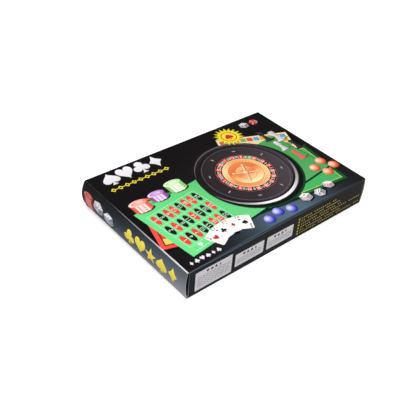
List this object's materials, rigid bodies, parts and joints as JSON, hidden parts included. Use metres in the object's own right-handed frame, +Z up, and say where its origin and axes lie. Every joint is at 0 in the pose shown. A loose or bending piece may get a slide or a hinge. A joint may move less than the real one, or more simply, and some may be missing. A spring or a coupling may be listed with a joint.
{
  "type": "boxed roulette game",
  "caption": "Flat black printed tuck-end carton of a roulette game; a formed tray inside holds the wheel with its spinning rotor and the game pieces.",
  "frame": {"origin": "centre of the carton's underside", "axes": "+X along the carton's long side, to the right seen from its front; +Y to its back; +Z up"},
  "size_m": [0.3544, 0.236, 0.045],
  "materials": {
    "printed_board": "glossy printed and coated paperboard",
    "plain_board": "uncoated grey-white paperboard",
    "tray_plastic": "thin vacuum-formed white plastic",
    "black_plastic": "moulded gloss black",
    "gold_plastic": "gold-plated plastic",
    "ring_print": "printed red, black and green",
    "green_felt": "green felt with white lines",
    "track_board": "printed cream board",
    "chess_board": "printed red and yellow board",
    "card_stock": "printed card and paper",
    "white_plastic": "gloss white",
    "red_plastic": "gloss red",
    "green_plastic": "gloss green",
    "purple_plastic": "gloss purple",
    "orange_plastic": "gloss orange",
    "blue_plastic": "gloss blue",
    "steel": "bright steel",
    "brass": "plain brass",
    "rubber": "black rubber"
  },
  "bodies": {
    "carton": {"carton_sleeve": "printed_board", "betting_mat": "green_felt", "track_game_board": "track_board", "chess_board": "chess_board", "formed_tray": "tray_plastic", "wheel_bowl": "black_plastic", "wheel_base": "black_plastic", "spindle_pin": "steel", "thrust_washer": "brass", "rake_handle": "black_plastic", "rake_blade": "black_plastic", "playing_cards": "card_stock", "rules_sheet": "card_stock", "green_chip_stack": "green_plastic", "purple_chip_stack": "purple_plastic", "red_chip_stack": "red_plastic", "black_pawn_1": "black_plastic", "black_pawn_2": "black_plastic", "red_pawn_1": "red_plastic", "wheel_foot_1": "rubber", "wheel_foot_2": "rubber", "wheel_foot_3": "rubber", "wheel_foot_4": "rubber", "base_screw_1": "steel", "play_money_pad_1": "card_stock", "die_1": "white_plastic", "orange_marble_1": "orange_plastic", "blue_marble_1": "blue_plastic", "white_pawn_1": "white_plastic", "base_screw_2": "steel", "play_money_pad_2": "card_stock", "die_2": "white_plastic", "orange_marble_2": "orange_plastic", "blue_marble_2": "blue_plastic", "white_pawn_2": "white_plastic", "base_screw_3": "steel", "play_money_pad_3": "card_stock", "die_3": "white_plastic", "orange_marble_3": "orange_plastic", "blue_marble_3": "blue_plastic", "white_pawn_3": "white_plastic", "roulette_ball_1": "white_plastic", "roulette_ball_2": "white_plastic"},
    "left_closure": {"left_end_closure": "printed_board"},
    "left_tongue": {"left_tuck_tongue": "plain_board"},
    "left_front_flap": {"left_front_dust_flap": "plain_board"},
    "left_back_flap": {"left_back_dust_flap": "plain_board"},
    "right_closure": {"right_end_closure": "printed_board"},
    "right_tongue": {"right_tuck_tongue": "plain_board"},
    "right_front_flap": {"right_front_dust_flap": "plain_board"},
    "right_back_flap": {"right_back_dust_flap": "plain_board"},
    "rotor": {"rotor_disc": "black_plastic", "pocket_ring": "black_plastic", "number_ring": "ring_print", "rotor_cone": "gold_plastic", "turret_stem": "gold_plastic", "turret_cross": "gold_plastic", "turret_finial": "gold_plastic"}
  },
  "joints": [
    {"name": "left_closure_fold", "type": "hinge", "parent": "carton", "child": "left_closure", "pos_m": [-0.1709, 0, 0.0447], "axis": [0, 1, 0], "range_deg": [0, 150]},
    {"name": "left_tongue_crease", "type": "hinge", "parent": "left_closure", "child": "left_tongue", "pos_m": [-0.1709, 0, 0.0012], "axis": [0, 1, 0], "range_deg": [0, 18]},
    {"name": "left_front_flap_fold", "type": "hinge", "parent": "carton", "child": "left_front_flap", "pos_m": [-0.1689, -0.1177, 0.0225], "axis": [0, 0, 1], "range_deg": [0, 75]},
    {"name": "left_back_flap_fold", "type": "hinge", "parent": "carton", "child": "left_back_flap", "pos_m": [-0.1689, 0.1177, 0.0225], "axis": [0, 0, -1], "range_deg": [0, 75]},
    {"name": "right_closure_fold", "type": "hinge", "parent": "carton", "child": "right_closure", "pos_m": [0.1709, 0, 0.0447], "axis": [0, -1, 0], "range_deg": [0, 150]},
    {"name": "right_tongue_crease", "type": "hinge", "parent": "right_closure", "child": "right_tongue", "pos_m": [0.1709, 0, 0.0012], "axis": [0, -1, 0], "range_deg": [0, 18]},
    {"name": "right_front_flap_fold", "type": "hinge", "parent": "carton", "child": "right_front_flap", "pos_m": [0.1689, -0.1177, 0.0225], "axis": [0, 0, -1], "range_deg": [0, 75]},
    {"name": "right_back_flap_fold", "type": "hinge", "parent": "carton", "child": "right_back_flap", "pos_m": [0.1689, 0.1177, 0.0225], "axis": [0, 0, 1], "range_deg": [0, 75]},
    {"name": "rotor_spin", "type": "hinge", "parent": "carton", "child": "rotor", "pos_m": [-0.0505, 0, 0.02], "axis": [0, 0, 1], "continuous": true}
  ],
  "couplings": [
    {"joint": "left_tongue_crease", "follows": "left_closure_fold", "ratio": 0.12},
    {"joint": "left_front_flap_fold", "follows": "left_closure_fold", "ratio": 0.5},
    {"joint": "left_back_flap_fold", "follows": "left_closure_fold", "ratio": 0.5},
    {"joint": "right_tongue_crease", "follows": "right_closure_fold", "ratio": 0.12},
    {"joint": "right_front_flap_fold", "follows": "right_closure_fold", "ratio": 0.5},
    {"joint": "right_back_flap_fold", "follows": "right_closure_fold", "ratio": 0.5}
  ]
}
